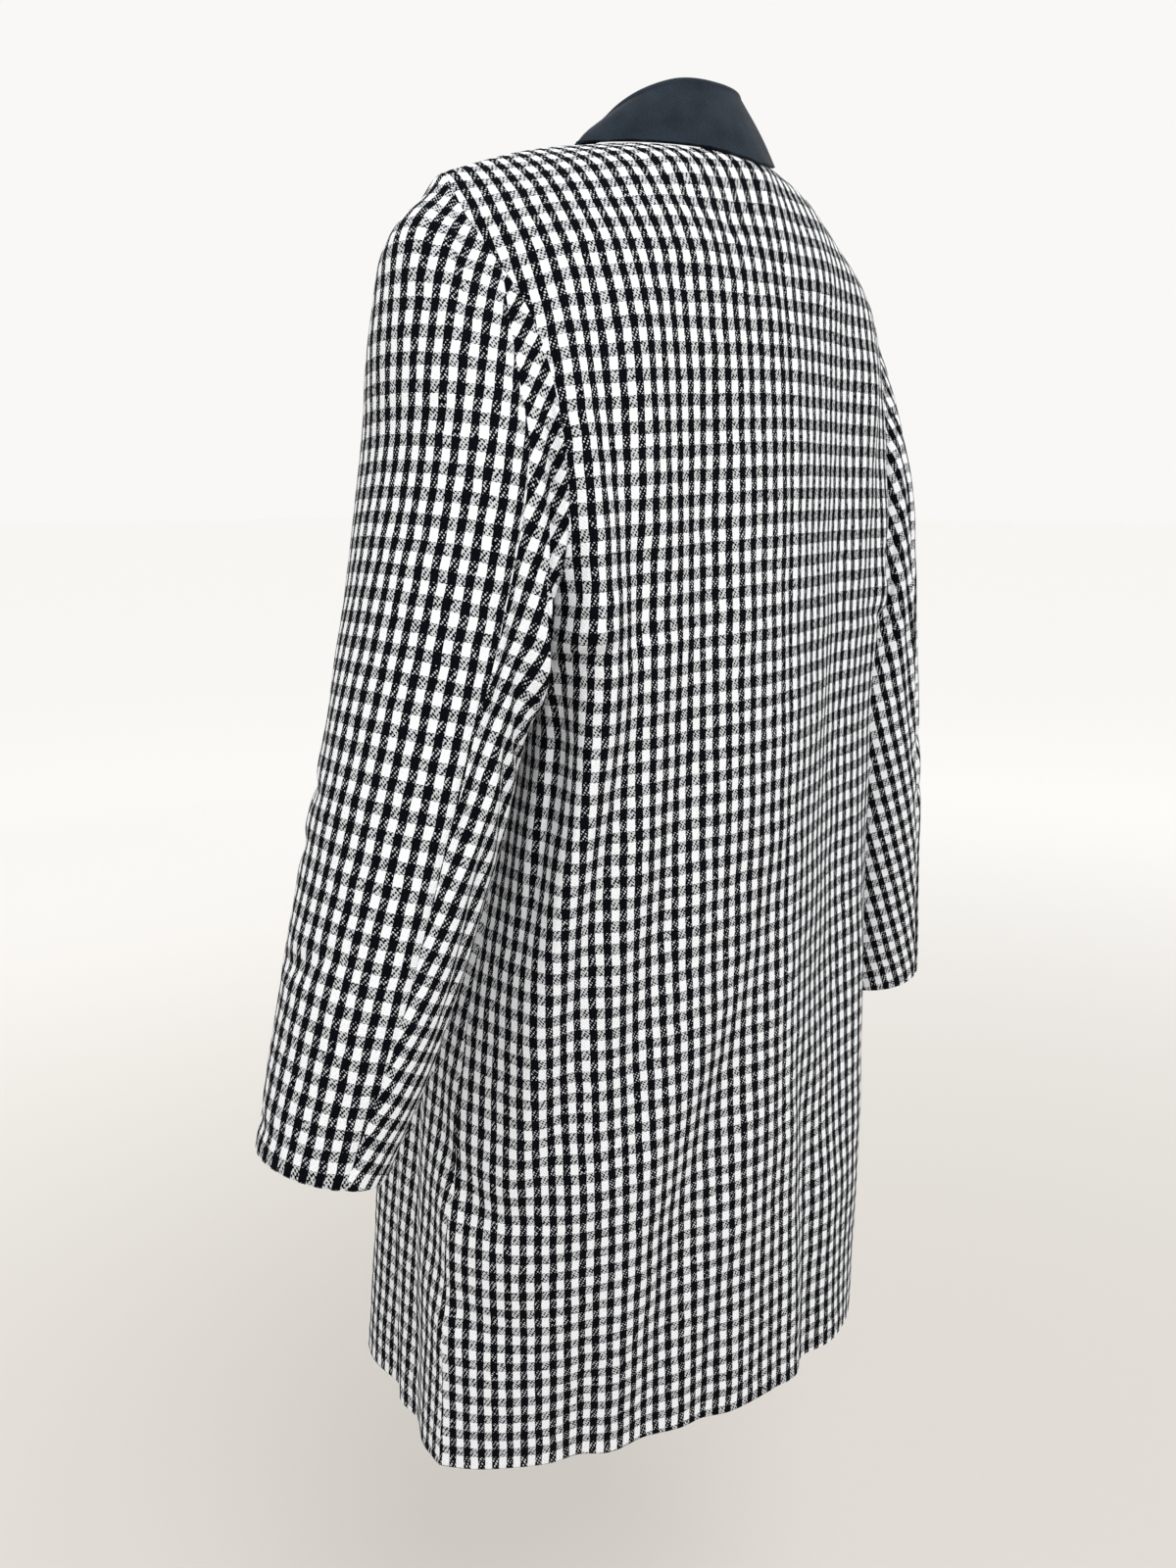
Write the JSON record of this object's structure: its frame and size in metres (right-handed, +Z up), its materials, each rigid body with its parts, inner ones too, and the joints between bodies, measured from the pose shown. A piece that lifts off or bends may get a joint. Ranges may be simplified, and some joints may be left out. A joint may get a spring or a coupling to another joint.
{
  "type": "coat",
  "caption": "Loose straight checked coat as worn, with long sleeves hanging, a plain dark turn-down collar and a buttoned front.",
  "frame": {"origin": "middle of the neck at the height of the inner ends of the shoulder seams, where the coat hangs on its wearer's neck and shoulders", "axes": "+Z up, -Y out of the wearer's chest, +X to the wearer's left"},
  "size_m": [0.6735, 0.3252, 0.9534],
  "materials": {
    "checked_cloth": "woven black and ivory check, matte",
    "dark_twill": "plain navy-black twill, matte",
    "button": "plain dark moulded, semi-matte"
  },
  "bodies": {
    "root": {"back_left": "checked_cloth", "back_right": "checked_cloth", "front_left": "checked_cloth", "front_right": "checked_cloth", "topsleeve_left": "checked_cloth", "topsleeve_right": "checked_cloth", "undersleeve_left": "checked_cloth", "undersleeve_right": "checked_cloth", "collar": "dark_twill", "button_1": "button", "button_2": "button", "button_3": "button", "button_4": "button"}
  },
  "joints": []
}
